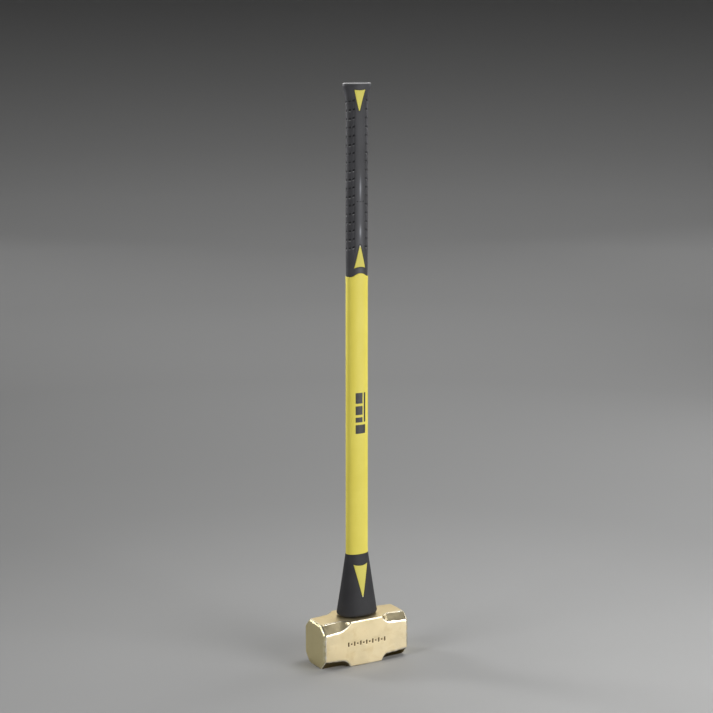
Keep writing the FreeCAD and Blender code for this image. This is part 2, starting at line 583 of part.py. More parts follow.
# ------------------------------------------------------------- printed blocks
# Plain blocks and bars on the front of the shaft, a thin layer of ink.
ink_stations = [(z, "%s + dims.ink_thick" % a, "%s + dims.ink_thick" % b) for z, a, b in shaft_stations]
ink_outer = oval_loft("ink_outer", ink_stations)
ink_skin = cut("ink_skin", ink_outer, shaft_outer)
BARS = [  # x from, x to, height from, height to, above the lower end of the print
    (-8.0, 9.5, 0.0, 14.0),
    (-8.0, 4.0, 18.0, 26.0),
    (-8.0, 4.0, 30.0, 44.0),
    (-8.0, 4.0, 48.0, 65.0),
    (6.5, 9.5, 18.0, 65.0),
]
bars = []
for i, (x0, x1, z0, z1) in enumerate(BARS):
    bar = doc.addObject("Part::Box", "ink_bar_%d" % i)
    bar.Length = x1 - x0
    bar.Width = 40.0
    bar.Height = z1 - z0
    bar.Placement = Placement(Vector(x0, -40, 0), Rotation())
    bar.setExpression("Placement.Base.z", "dims.ink_bottom + %.2f" % z0)
    bars.append(bar)
ink_bars = fuse("ink_bars", bars)
printed_mark = common("printed_mark", ink_skin, ink_bars)
printed_mark.Label = "printed_mark"
doc.recompute()

# ---------------------------------------------------------------- check, write
for obj in doc.Objects:
    if obj.TypeId == "Sketcher::SketchObject" and not obj.FullyConstrained:
        raise RuntimeError(obj.Name + " is not fully constrained")
NODES = [head, eye_epoxy, eye_dam, core_rod, handle_jacket, overstrike_guard, grip, printed_mark]
SOLIDS = {"printed_mark": len(BARS)}
for obj in doc.Objects:
    bad = [s for s in obj.State if s in ("Invalid", "Error")]
    if bad:
        raise RuntimeError("%s is %s" % (obj.Name, bad))
for obj in NODES:
    shape = obj.Shape
    if shape.isNull() or not shape.isValid():
        raise RuntimeError(obj.Label + " has no valid shape")
    want = SOLIDS.get(obj.Label, 1)
    if len(shape.Solids) != want:
        raise RuntimeError("%s has %d solids, not %d" % (obj.Label, len(shape.Solids), want))

os.makedirs("parts", exist_ok=True)
for obj in NODES:
    shape = obj.Shape
    shape.exportStep("parts/%s.step" % obj.Label)
    box = shape.BoundBox
    print("%-18s %9.1f mm3  X %.2f..%.2f  Y %.2f..%.2f  Z %.2f..%.2f" % (
        obj.Label, shape.Volume, box.XMin, box.XMax, box.YMin, box.YMax, box.ZMin, box.ZMax))
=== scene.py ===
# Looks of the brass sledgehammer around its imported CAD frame.
import bpy, bmesh, math
import numpy as np
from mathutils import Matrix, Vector


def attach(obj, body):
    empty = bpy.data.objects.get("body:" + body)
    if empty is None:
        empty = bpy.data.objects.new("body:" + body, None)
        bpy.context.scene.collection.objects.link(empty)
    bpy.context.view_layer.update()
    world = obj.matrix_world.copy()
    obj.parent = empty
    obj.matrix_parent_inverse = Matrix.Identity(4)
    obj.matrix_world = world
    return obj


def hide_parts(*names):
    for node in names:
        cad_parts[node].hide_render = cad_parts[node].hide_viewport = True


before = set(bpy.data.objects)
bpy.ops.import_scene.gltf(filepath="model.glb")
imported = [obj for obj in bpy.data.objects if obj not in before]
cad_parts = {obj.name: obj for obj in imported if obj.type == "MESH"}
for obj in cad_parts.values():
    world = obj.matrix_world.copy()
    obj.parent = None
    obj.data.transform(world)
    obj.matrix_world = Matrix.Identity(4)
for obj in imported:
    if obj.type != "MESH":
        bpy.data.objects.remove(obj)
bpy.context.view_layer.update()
MM = 0.001
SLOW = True

# ----------------------------------------------------------------- camera
SC = bpy.context.scene
YAW, PITCH = math.radians(29.78), math.radians(11.1016)
DIST, CAM_Z, SIDE = 2.7649, 1.0352, -0.0004
cam_data = bpy.data.cameras.new("camera")
cam_data.sensor_fit = "HORIZONTAL"
cam_data.sensor_width = 36.0
cam_data.lens = 1814.0 * 36.0 / 713.0
cam_data.clip_end = 60.0
cam = bpy.data.objects.new("camera", cam_data)
SC.collection.objects.link(cam)
cam.location = (SIDE * math.cos(YAW) - DIST * math.sin(YAW), -SIDE * math.sin(YAW) - DIST * math.cos(YAW), CAM_Z)
cam.rotation_euler = (math.pi / 2 - PITCH, 0.0, -YAW)
SC.camera = cam
SC.view_settings.view_transform = "Standard"


# ---------------------------------------------------------------- noise
def _hash(ix, iy, iz, seed):
    h = (ix.astype(np.uint32) * np.uint32(374761393) + iy.astype(np.uint32) * np.uint32(668265263)
         + iz.astype(np.uint32) * np.uint32(2246822519) + np.uint32((seed * 3266489917) & 0xFFFFFFFF))
    h = (h ^ (h >> np.uint32(13))) * np.uint32(1274126177)
    h = h ^ (h >> np.uint32(16))
    return h.astype(np.float64) / 2147483648.0 - 1.0


def noise(P, size, seed, stretch=(1, 1, 1)):
    """Smooth value noise, -1 to 1, with cells of `size` millimetres."""
    Q = P / (size * np.asarray(stretch, float))
    I = np.floor(Q).astype(np.int64)
    F = Q - I
    F = F * F * F * (F * (F * 6 - 15) + 10)
    out = 0.0
    for dx in (0, 1):
        wx = F[:, 0] if dx else 1 - F[:, 0]
        for dy in (0, 1):
            wy = F[:, 1] if dy else 1 - F[:, 1]
            for dz in (0, 1):
                wz = F[:, 2] if dz else 1 - F[:, 2]
                out = out + wx * wy * wz * _hash(I[:, 0] + dx, I[:, 1] + dy, I[:, 2] + dz, seed)
    return out


def smooth(x, a, b):
    t = np.clip((x - a) / (b - a), 0, 1)
    return t * t * (3 - 2 * t)


# ---------------------------------------------------------------- meshes
def make(name, V, faces, attrs=None):
    """Mesh object from points in millimetres and lists of face arrays."""
    me = bpy.data.meshes.new(name)
    F = []
    for f in faces:
        F += np.asarray(f).tolist()
    me.from_pydata((np.asarray(V) * MM).tolist(), [], F)
    me.polygons.foreach_set("use_smooth", np.ones(len(me.polygons), bool))
    for key, values in (attrs or {}).items():
        at = me.attributes.new(key, "FLOAT", "POINT")
        at.data.foreach_set("value", np.asarray(values, np.float32))
    me.update()
    ob = bpy.data.objects.new(name, me)
    SC.collection.objects.link(ob)
    return ob


def ring_grid(n_rows, n_ring, base=0, closed_rows=False):
    """Quads of a grid whose columns close round; rows may close too."""
    r = np.arange(n_rows if closed_rows else n_rows - 1)
    c = np.arange(n_ring)
    R, C = np.meshgrid(r, c, indexing="ij")
    R2, C2 = (R + 1) % n_rows, (C + 1) % n_ring
    q = np.stack([R * n_ring + C, R * n_ring + C2, R2 * n_ring + C2, R2 * n_ring + C], -1).reshape(-1, 4)
    return q + base


def outward(ob):
    bm = bmesh.new()
    bm.from_mesh(ob.data)
    bmesh.ops.recalc_face_normals(bm, faces=bm.faces)
    bm.to_mesh(ob.data)
    bm.free()
    return ob


def superoval(a, b, n, theta):
    """Points of a superellipse; theta is the angle, front centre at -90 deg."""
    c, s = np.cos(theta), np.sin(theta)
    return (a * np.sign(c) * np.abs(c) ** (2.0 / n), b * np.sign(s) * np.abs(s) ** (2.0 / n))


def even_theta(a, b, n, count):
    """Angles that space the points of a superellipse evenly."""
    t = np.linspace(0, 2 * math.pi, 7201)
    x, y = superoval(a, b, n, t)
    L = np.concatenate([[0], np.cumsum(np.hypot(np.diff(x), np.diff(y)))])
    return np.interp(np.linspace(0, L[-1], count, endpoint=False), L, t), L[-1]


# ---------------------------------------------------------- window outlines
def window_outline(zb, zt, w, dip, xoff=0.0, wt=1.0, n=40):
    side = 1.0 if zt > zb else -1.0
    s = np.linspace(-1, 1, n)
    base = np.stack([s * w + xoff, zb + side * dip * (1 - s * s)], -1)
    tip = np.stack([-s * wt + xoff, zt - side * 0.5 * s * s], -1)
    return np.concatenate([base, tip])


WINDOWS = {
    "g": dict(zb=160.4, zt=107.2, w=12.6, dip=2.4),
    "l": dict(zb=632.4, zt=667.8, w=9.9, dip=2.0, xoff=-0.3),
    "u": dict(zb=903.8, zt=872.0, w=9.3, dip=0.9, xoff=-1.8),
}


def outline_distance(X, Z, outline):
    """Signed distance to a closed outline, negative inside."""
    P = np.stack([X, Z], -1)
    A, B = outline, np.roll(outline, -1, axis=0)
    best = np.full(len(P), 1e9)
    inside = np.zeros(len(P), bool)
    for a, b in zip(A, B):
        d = b - a
        L = d @ d
        if L < 1e-12:
            continue
        t = np.clip(((P - a) @ d) / L, 0, 1)
        best = np.minimum(best, np.hypot(*(P - a - t[:, None] * d).T))
        cross = ((a[1] > P[:, 1]) != (b[1] > P[:, 1]))
        if cross.any():
            xs = a[0] + (P[:, 1] - a[1]) / (b[1] - a[1] if abs(b[1] - a[1]) > 1e-12 else 1e-12) * d[0]
            inside ^= cross & (P[:, 0] < xs)
    return np.where(inside, -best, best)


# ------------------------------------------------------------ handle surfaces
def stations(table):
    T = np.array(table, float)
    return lambda z, k: np.interp(z, T[:, 0], T[:, k])


def soft_table(table, step=0.25, width=1.0):
    """The same table, with its corners eased over `width` millimetres."""
    T = np.array(table, float)
    z = np.arange(T[0, 0], T[-1, 0] + step, step)
    cols = [np.interp(z, T[:, 0], T[:, k]) for k in range(1, T.shape[1])]
    m = max(1, int(width / step))
    ker = np.hanning(2 * m + 1)
    ker /= ker.sum()
    out = [np.convolve(np.pad(c, m, mode="edge"), ker, mode="valid") for c in cols]
    return np.stack([z] + out, -1)


# guard: z, semi-axis X, semi-axis Y, roundness
G_LOW, G_TOP = 76.0, 176.0
guard_body = stations([(76, 34.0, 23.8, 2.35), (80, 33.4, 23.5, 2.35), (125, 26.7, 17.9, 2.25), (174.6, 19.7, 12.1, 2.1), (176, 19.7, 12.1, 2.1)])


def guard_ab(z):
    return guard_body(z, 1), guard_body(z, 2), guard_body(z, 3)


# shaft: slight taper, small swell at both ends
shaft_body = stations(soft_table([(176, 19.25, 11.75, 2.08), (180, 19.15, 11.65, 2.08), (188, 19.0, 11.5, 2.08),
                                  (607, 18.5, 11.2, 2.08), (615, 18.75, 11.4, 2.08), (619, 18.85, 11.55, 2.08), (630, 18.85, 11.55, 2.08)], 0.5, 4.0))
# grip
GRIP_LOW = 619.0
grip_body = stations(soft_table([(615, 17.9, 10.9, 2.1), (629, 18.05, 11.0, 2.1), (664, 18.3, 11.25, 2.15), (760, 18.35, 11.3, 2.15),
                                 (854, 18.1, 11.2, 2.15), (880, 18.45, 11.5, 2.12), (889, 19.2, 12.0, 2.1), (896, 20.2, 12.7, 2.1),
                                 (902, 21.6, 13.6, 2.08), (906, 23.1, 14.7, 2.06), (909, 24.1, 15.3, 2.05), (914, 24.2, 15.4, 2.05)], 0.25, 5.0))


def grip_edge(X):
    """Height of the grip's lower edge: level at the flanks, arched front and back."""
    h, r = 5.6, 15.5
    u = np.clip(np.abs(X) / r, 0, 1) ** 1.3
    return GRIP_LOW + h * (1 - u * u * (3 - 2 * u))


def frame_of(X, Y, Z, n_rows, n_ring):
    """Unit normals of a grid of rings, from its neighbours."""
    P = np.stack([X, Y, Z], -1).reshape(n_rows, n_ring, 3)
    du = np.roll(P, -1, 1) - np.roll(P, 1, 1)
    dv = np.empty_like(P)
    dv[1:-1] = P[2:] - P[:-2]
    dv[0], dv[-1] = P[1] - P[0], P[-1] - P[-2]
    N = np.cross(du, dv)
    N /= np.maximum(np.linalg.norm(N, axis=-1, keepdims=True), 1e-12)
    return N.reshape(-1, 3)


# ------------------------------------------------------------------ the head
HL, HW, HT = 77.5, 32.25, 74.5
# run-out of each of the eight flats: floor depth at the middle end, radius on
# the cheek side, radius on the top or bottom side, skew of the run-out
SCOOPS = {  # (sign x, sign y, sign z)
    (-1, -1, 1): (9.8, 33.0, 13.0, 0.28), (1, -1, 1): (8.4, 17.0, 12.0, 0.60),
    (-1, -1, -1): (9.2, 21.0, 16.0, 0.30), (1, -1, -1): (8.2, 12.5, 12.0, 0.25),
    (-1, 1, 1): (8.8, 20.0, 13.0, 0.45), (1, 1, 1): (9.3, 24.0, 14.0, 0.30),
    (-1, 1, -1): (8.5, 15.0, 13.0, 0.30), (1, 1, -1): (9.0, 19.0, 14.0, 0.35),
}


def smax(a, b, k):
    h = np.maximum(k - np.abs(a - b), 0) / k
    return np.maximum(a, b) + h * h * k * 0.25


def stamp_mask(x, z):
    """Depth share of the punched row on the front cheek: plain bars and dots."""
    z0 = 37.0 - 0.022 * x                      # the row runs slightly out of level
    m = np.zeros_like(x)

    def bar(cx, half, high, lean=0.0):
        return smooth(0.22 - np.maximum(np.abs(x - cx - lean * (z - z0)) - half, np.abs(z - z0) - high), -0.25, 0.30)

    def dot(cx, cz, r):
        return smooth(r - np.hypot(x - cx, z - z0 - cz), -0.25, 0.30)

    for k in range(13):                                     # bars and dots in turn, evenly spaced
        cx = -33.0 + 5.5 * k
        m = np.maximum(m, bar(cx, 0.85, 3.3) if k % 2 == 0 else dot(cx, 0.0, 1.35))
    return m


def head_fields(P):
    """Signed distance (mm, negative inside) and the masks of the brass head."""
    x, y, z = P[:, 0], P[:, 1], P[:, 2]
    X, Y = np.abs(x), np.abs(y)
    up = z > HT / 2
    wob = lambda size, seed, stretch=(1, 1, 1): noise(P, size, seed, stretch)
    # cheeks, top, underside, ends: nearly flat, finished by hand on a belt
    d_y = Y - (HW - 0.13 + 0.09 * wob(26, 3) + 0.035 * wob(9, 4))
    drop = 1.5 * smooth(X, 30, 82)
    d_top = z - (HT - 0.12 - drop + 0.09 * wob(24, 5) + 0.03 * wob(8, 6))
    d_bot = -z
    d_z = np.maximum(d_top, d_bot)
    crown = 0.45 * ((y / HW) ** 2 + ((z - HT / 2) / (HT / 2)) ** 2) * 0.5
    d_x = X - (HL - crown - 0.10 + 0.08 * wob(18, 7))
    k_long = 2.1 + 0.7 * wob(10, 8)
    cheek = smax(d_y, d_z, k_long)
    # the eight flats
    flat = np.full(len(P), -99.0)
    Zc = np.where(up, HT - z, z)               # depth below the top, or height over the underside
    v = ((Y - HW) - Zc) / math.sqrt(2.0)       # along the diagonal, out of the edge
    w = np.clip(((HW - Y) - Zc) / 20.0 + 0.5, 0, 1)    # 0 on the cheek side, 1 on the top or bottom side
    for (sx, sy, sz), (depth, r_cheek, r_top, skew) in SCOOPS.items():
        sel = ((x < 0) if sx < 0 else (x >= 0)) & ((y < 0) if sy < 0 else (y >= 0)) & (up if sz > 0 else ~up)
        if not sel.any():
            continue
        seed = 11 + sx + 3 * sy + 9 * sz
        Pq = P[sel]
        u = X[sel] - skew * np.clip(HW - Y[sel], 0, 18)
        R = r_cheek + (r_top - r_cheek) * w[sel]
        dep = depth + 0.22 * noise(Pq, 14, seed) + 0.10 * noise(Pq, 5, seed + 40, (0.6, 1.6, 1.6))
        t = 28.3 + 0.5 * noise(Pq, 9, seed + 80) + np.sqrt(np.maximum(R * R - (R - dep) ** 2, 0))
        vv = v[sel] + 1.5 * np.clip((X[sel] - 42) / 33.0, 0, 1.2)
        du = np.maximum(t - u, 0)
        dv = np.maximum((R - dep) - vv, 0)
        flat[sel] = R - np.hypot(du, dv)
    k_flat = 1.5 + 0.5 * wob(7, 9)
    side = smax(cheek, flat, k_flat)
    # bevel round each striking face
    width = 3.0 + 0.45 * wob(8, 10) + 0.9 * np.maximum(wob(3.0, 12), -0.3) * smooth(-x, 60, 70) * smooth(-y, 20, 28) * (1 - smooth(z, 50, 60))
    bev = (d_x + side + width) / math.sqrt(2.0)
    k_bev = 1.2 + 0.4 * wob(5, 13)
    body = smax(smax(side, bev, k_bev), d_x, k_bev)
    near = lambda p, q, w: np.clip(1 - np.abs(p - q) / w, 0, 1) * smooth(np.maximum(p, q), -2.0, -0.3)
    # edge mask: partly real polish wear, partly a painted highlight, as the colour goes near-white along the edges
    wear_and_edge_highlight = np.maximum.reduce([near(d_y, d_z, 2.6), near(cheek, flat, 2.4), 0.95 * near(side, bev, 2.4), 0.5 * near(np.maximum(side, bev), d_x, 1.8)])
    wear_and_edge_highlight = wear_and_edge_highlight * np.clip(0.75 + 0.5 * wob(6, 17) + 0.35 * wob(2.2, 18), 0, 1)
    # small dents and pits along the worn edges
    dents = np.clip(wob(4.2, 14) - 0.58, 0, 1) * 1.6
    near_face = smooth(X, 58, 74)
    body = body + 0.5 * dents * near_face
    # punched row
    front = smooth(-y, 28, 31)
    mark = stamp_mask(x, z) * front * (X < 40)
    body = body + 0.55 * mark
    is_end = smooth(np.maximum(d_x, bev) - side, -0.5, 0.3)
    is_flat = smooth(flat - cheek, -0.4, 0.5) * (1 - is_end)
    # painted shade: the lower flats go dark, more on the right, in place of the shadowed floor they reflect
    is_painted_under_shade = is_flat * smooth(-z, -38, -36) * (0.5 + 0.5 * smooth(x, -10, 10))
    return body, is_flat, is_end, mark, wear_and_edge_highlight, is_painted_under_shade


def axis_points(low, high, fine, coarse_step, fine_step):
    """Positions along one axis, closer together inside the fine spans."""
    out, p = [low], low
    while p < high - 1e-9:
        step = fine_step if any(a <= p <= b for a, b in fine) else coarse_step
        for a, b in fine:
            if p < a < p + step:
                step = max(a - p, 0.05)
        p = min(p + step, high)
        out.append(p)
    return np.array(out)


def build_head():
    q = 1.0 if SLOW else 2.2
    xs = axis_points(-HL, HL, [(-HL, -69), (-46, -26), (26, 46), (69, HL)], 1.1 * q, 0.55 * q)
    xs = np.unique(np.round(np.concatenate([xs, np.arange(-36, 36.01, 0.30 * q)]), 3))
    xs = xs[np.concatenate([[True], np.diff(xs) > 0.12])]
    xs[-1] = HL
    ys = axis_points(-HW, HW, [(-HW, -22), (22, HW)], 1.1 * q, 0.6 * q)
    zs = axis_points(0.0, HT, [(0, 12), (32.2, 41.8), (62, HT)], 0.9 * q, 0.34 * q)
    nx, ny, nz = len(xs), len(ys), len(zs)
    idx = -np.ones((nx, ny, nz), np.int64)
    shell = np.zeros((nx, ny, nz), bool)
    shell[0], shell[-1] = True, True
    shell[:, 0], shell[:, -1] = True, True
    shell[:, :, 0], shell[:, :, -1] = True, True
    idx[shell] = np.arange(shell.sum())
    I, J, K = np.nonzero(shell)
    V = np.stack([xs[I], ys[J], zs[K]], -1).astype(float)
    quads = []

    def side(A):                                 # A: index grid (m, n)
        quads.append(np.stack([A[:-1, :-1], A[1:, :-1], A[1:, 1:], A[:-1, 1:]], -1).reshape(-1, 4))

    side(idx[0]); side(idx[-1]); side(idx[:, 0]); side(idx[:, -1]); side(idx[:, :, 0]); side(idx[:, :, -1])
    V0 = V.copy()
    e = 0.05
    for it in range(16):
        d = head_fields(V)[0]
        g = np.stack([head_fields(V + np.eye(3)[k] * e)[0] - d for k in range(3)], -1) / e
        n2 = np.maximum((g * g).sum(-1), 0.25)
        V = V - (0.92 * d / n2)[:, None] * g
        if np.abs(d).max() < 0.01:
            break
    # keep the points inside the head's box, then read the masks where they settled
    V[:, 0] = np.clip(V[:, 0], -HL, HL)
    V[:, 1] = np.clip(V[:, 1], -HW, HW)
    V[:, 2] = np.clip(V[:, 2], 0, HT)
    d, is_flat, is_end, mark, wear_and_edge_highlight, painted_under_shade = head_fields(V)
    ob = make("head_brass", V, quads, {"flat": is_flat, "end_face_shade": is_end, "mark": mark, "wear_and_edge_highlight": wear_and_edge_highlight, "painted_under_shade": painted_under_shade})
    outward(ob)
    # the eye, oval and tapered, open at the underside
    n = 128
    th = np.linspace(0, 2 * math.pi, n, endpoint=False)
    rings = [(-1.0, 24.4, 17.9), (0.0, 23.4, 16.9), (1.2, 22.0, 15.5), (HT + 1.0, 17.8, 11.2)]
    C = np.concatenate([np.stack([a * np.cos(th), b * np.sin(th), np.full(n, z)], -1) for z, a, b in rings])
    caps = [np.arange(n)[::-1].tolist(), (np.arange(n) + 3 * n).tolist()]
    cut = make("eye_tool", C, [ring_grid(4, n)])
    bm = bmesh.new(); bm.from_mesh(cut.data); bm.verts.ensure_lookup_table()
    bm.faces.new([bm.verts[i] for i in caps[0]]); bm.faces.new([bm.verts[i] for i in caps[1]])
    bmesh.ops.recalc_face_normals(bm, faces=bm.faces); bm.to_mesh(cut.data); bm.free()
    mod = ob.modifiers.new("eye", "BOOLEAN")
    mod.operation, mod.solver, mod.object = "DIFFERENCE", "EXACT", cut
    bpy.context.view_layer.update()
    dg = bpy.context.evaluated_depsgraph_get()
    me = bpy.data.meshes.new_from_object(ob.evaluated_get(dg))
    ob.modifiers.clear()
    ob.data = me
    me.name = "head_brass"
    bpy.data.objects.remove(cut)
    return ob


# ------------------------------------------------------------ rubber guard
def build_guard():
    n = 300 if SLOW else 160
    theta, _ = even_theta(28, 19, 2.25, n)
    zs = np.concatenate([np.linspace(80.8, 174.4, 210 if SLOW else 100)])
    X, Y, Z, row_kind = [], [], [], []

    def row(z, inset, kind):
        a, b, e = guard_ab(z)
        x, y = superoval(a - inset, b - inset, e, theta)
        X.append(x); Y.append(y); Z.append(np.full(n, z)); row_kind.append(np.full(n, kind))

    lip = 4.6
    row(G_LOW, lip + 1.0, 0)
    for k in np.linspace(0, 1, 12):                      # rounded lower lip
        t = k * math.pi / 2
        row(G_LOW + lip * (1 - math.cos(t)), lip * (1 - math.sin(t)), 1)
    for z in zs:
        row(z, 0.0, 1)
    for k in np.linspace(0, 1, 7):                       # eased upper edge
        t = k * math.pi / 2
        row(174.6 + 1.4 * math.sin(t), 0.9 * (1 - math.cos(t)), 1)
    outer_rows = len(X)
    # inner wall on the jacket's flange
    for z, a, b in ((176.0, 17.0, 9.8), (152, 20.0, 12.1), (125, 23.4, 14.7), (100, 26.7, 17.3), (80, 29.6, 19.4), (77.6, 29.6, 19.4), (77.6, 18.9, 12.3), (76.0, 18.9, 12.3)):
        x, y = superoval(a, b, 2.0, theta)
        X.append(x); Y.append(y); Z.append(np.full(n, z)); row_kind.append(np.full(n, 0))
    R = len(X)
    X, Y, Z, kind = map(np.concatenate, (X, Y, Z, row_kind))
    N = frame_of(X, Y, Z, R, n)
    sd = outline_distance(X, Z, window_outline(**WINDOWS["g"]))
    P = np.stack([X, Y, Z], -1)
    dig = 1.1 * smooth(-sd, -0.30, 0.10) * (kind == 1) * (np.abs(Y) > 4)
    soft = 0.05 * noise(P, 16, 21) * (kind == 1) * smooth(Z, 84, 95)
    # a faint raised border just outside the window
    border = 0.10 * np.exp(-((sd - 0.9) / 0.5) ** 2) * (kind == 1) * (np.abs(Y) > 4)
    P = P - N * (dig - soft - border)[:, None]
    P[:, 2] = np.maximum(P[:, 2], G_LOW)
    ob = make("guard_rubber", P, [ring_grid(R, n, closed_rows=True)])
    return outward(ob)


# -------------------------------------------------------------- rubber grip
def build_grip():
    n = 380 if SLOW else 190
    theta, perim = even_theta(18.3, 11.25, 2.15, n)
    step = 0.42 if SLOW else 0.9
    zs = np.concatenate([np.arange(619.5, 905.0, step), np.linspace(905.0, 910.2, 14)])
    X, Y, Z, kind = [], [], [], []
    # inner wall, from the closed top down
    for z, a, b in ((908.5, 5.0, 2.8), (908.5, 16.3, 9.3), (890, 16.3, 9.3), (760, 16.3, 9.3), (640, 16.3, 9.3), (627, 16.3, 9.3)):
        x, y = superoval(a, b, 2.0, theta)
        X.append(x); Y.append(y); Z.append(np.full(n, z)); kind.append(np.full(n, 0))
    # lower edge: the inner wall's last ring, then a rounded step out
    a0, b0 = grip_body(619.5, 1), grip_body(619.5, 2)
    x, y = superoval(16.3, 9.3, 2.0, theta)
    X.append(x); Y.append(y); Z.append(grip_edge(x)); kind.append(np.full(n, 0))
    x, y = superoval(a0 - 0.7, b0 - 0.7, 2.1, theta)
    X.append(x); Y.append(y); Z.append(grip_edge(x)); kind.append(np.full(n, 2))
    for k in (0.25, 0.5, 0.75):
        t = k * math.pi / 2
        x, y = superoval(a0 - 0.7 * (1 - math.sin(t)), b0 - 0.7 * (1 - math.sin(t)), 2.1, theta)
        X.append(x); Y.append(y); Z.append(grip_edge(x) + 0.7 * (1 - math.cos(t))); kind.append(np.full(n, 2))
    for z in zs:
        a, b, e = grip_body(z, 1), grip_body(z, 2), grip_body(z, 3)
        x, y = superoval(a, b, e, theta)
        lift = (grip_edge(x) - GRIP_LOW) * (1 - smooth(z, 619.5, 637.0))
        zz = np.full(n, z) + lift
        zz = np.maximum(zz, Z[-1] + 0.02) if z < 650 else zz
        X.append(x); Y.append(y); Z.append(zz); kind.append(np.full(n, 1))
    # rounded rim and nearly flat top
    ar, br = grip_body(910.2, 1), grip_body(910.2, 2)
    for k in np.linspace(0.1, 1, 9):
        t = k * math.pi / 2
        x, y = superoval(ar - 3.6 * (1 - math.cos(t)), br - 3.6 * (1 - math.cos(t)), 2.05, theta)
        X.append(x); Y.append(y); Z.append(np.full(n, 910.2 + 3.5 * math.sin(t))); kind.append(np.full(n, 3))
    for f in (0.86, 0.7, 0.5, 0.3, 0.12):
        x, y = superoval((ar - 3.6) * f, (br - 3.6) * f, 2.05, theta)
        X.append(x); Y.append(y); Z.append(np.full(n, 913.7 + 0.28 * (1 - f * f))); kind.append(np.full(n, 3))
    R = len(X)
    X, Y, Z, kind = map(np.concatenate, (X, Y, Z, kind))
    N = frame_of(X, Y, Z, R, n)
    P = np.stack([X, Y, Z], -1)
    if (N[len(X) // 2] @ np.array([X[len(X) // 2], Y[len(X) // 2], 0])) < 0:
        N = -N
    # arc length from the middle of the nearer flank
    x1, y1 = superoval(18.3, 11.25, 2.15, theta)
    s = np.arange(n) / n * perim                         # from +X, counter-clockwise
    t_flank = np.where(s < perim * 0.25, s, np.where(s < perim * 0.75, s - perim * 0.5, s - perim))
    t_flank = np.abs(np.tile(t_flank, R))
    t_front = perim * 0.25 - t_flank                     # arc from the front or back centre line
    skin = (kind == 1)
    free = smooth(Z, 655, 658) * (1 - smooth(Z, 893, 896))
    sd_l = outline_distance(X, Z, window_outline(**WINDOWS["l"]))
    sd_u = outline_distance(X, Z, window_outline(**WINDOWS["u"]))
    sd = np.where(np.abs(Y) > 3, np.minimum(sd_l, sd_u), 99.0)
    # rows of broken chevrons on the flanks, lowest at the middle of the flank
    pitch = 13.1
    zz = Z - 662.0 - 0.22 * t_flank - 0.10 * np.maximum(t_flank - 9.0, 0)
    k_row = np.round(zz / pitch)
    off = zz - k_row * pitch
    in_rows = (k_row >= 0) & (k_row <= 17)
    jit = noise(np.stack([k_row * 7.3 + 50 * np.sign(X), np.floor(t_flank / 5.0) * 3.1, 0 * k_row], -1), 1.0, 31)
    dash = np.maximum.reduce([
        smooth(1.5 - t_flank, -0.5, 0.5),
        smooth(1.35 - np.abs(t_flank - 6.8), -0.5, 0.5),
        smooth(1.45 - np.abs(t_flank - 12.3), -0.5, 0.5)])
    dash = np.maximum(dash, 0.06 * smooth(14.0 - t_flank, -0.5, 0.5))
    cutline = np.exp(-(np.abs(off) / 1.25) ** 2.6) * dash * in_rows * (0.85 + 0.25 * jit)
    lipline = np.exp(-((off + 2.15) / 0.75) ** 2) * dash * in_rows
    # one row runs on across the front and the back
    off2 = Z - 734.6 - 0.1 * t_front
    dash2 = np.maximum(smooth(1.3 - np.abs(t_front - 0.2), -0.4, 0.4), smooth(1.2 - np.abs(t_front - 5.2), -0.4, 0.4))
    cut2 = np.exp(-(np.abs(off2) / 0.6) ** 2.6) * dash2
    # shallow grooves that bound the smooth panels
    panel = np.exp(-((t_front - 9.6) / 0.55) ** 2) * smooth(sd, 1.5, 3.0)
    hollow = 1.1 * smooth(-sd, -0.30, 0.10)
    border = 0.10 * np.exp(-((sd - 0.9) / 0.5) ** 2)
    wave = (0.06 * noise(P, 11, 33, (1, 1, 1.6)) + 0.05 * noise(P, 5, 34, (1, 1, 1.5))) * smooth(sd, 0.5, 4)
    flank_skin = 0.035 * noise(P, 0.9, 35) * (t_front > 10.2)
    disp = (-1.15 * cutline + 0.34 * lipline - 0.6 * cut2 - 0.34 * panel) * free * smooth(sd, 0.4, 2.0) - hollow + border + wave + flank_skin
    P = P + N * (disp * skin)[:, None]
    P[:, 2] = np.minimum(P[:, 2], 913.99)
    # close both ends with a middle point
    V = np.concatenate([P, [[0, 0, 908.5], [0, 0, 913.98]]])
    c = np.arange(n)
    first, last = len(P), len(P) + 1
    fan0 = np.stack([c, (c + 1) % n, np.full(n, first)], -1)
    base = (R - 1) * n
    fan1 = np.stack([base + (c + 1) % n, base + c, np.full(n, last)], -1)
    # painted shade: the grooves' colour goes near-black in the material
    painted_groove_shade = np.clip(cutline * free + cut2 * free + 0.5 * panel * free, 0, 1) * skin
    painted_groove_shade = np.concatenate([painted_groove_shade, [0, 0]])
    # painted highlight: the top of the butt's rim goes light grey
    rim = smooth(Z, 912.2, 913.2) * smooth(np.hypot(X / 24.2, Y / 15.4), 0.80, 0.90)
    rim = np.concatenate([rim, [0, 0]])
    smoothp = np.concatenate([(t_front < 9.6).astype(float) * skin, [0, 0]])
    # painted highlight: light grey along the lip above each groove
    lip = np.concatenate([lipline * free * skin * np.clip(0.35 + 1.6 * jit, 0, 1), [0, 0]])
    # painted highlights on the front panel: two lighter spots and a lighter lower half
    painted_highlight = np.exp(-(t_front / 1.25) ** 2) * (0.85 * np.exp(-((Z - 755) / 13.0) ** 2) + np.exp(-((Z - 689) / 7.5) ** 2))
    painted_highlight = painted_highlight + 0.16 * np.exp(-(t_front / 4.5) ** 2) * (1 - smooth(Z, 720, 800)) * smooth(sd, 0.4, 3.0)
    painted_highlight = np.concatenate([np.clip(painted_highlight, 0, 1) * (Y < 0) * skin, [0, 0]])
    ob = make("grip_rubber", V, [ring_grid(R, n), fan0, fan1], {"painted_groove_shade": painted_groove_shade, "panel": smoothp, "rim": rim, "lip": lip, "painted_highlight": painted_highlight})
    return outward(ob)


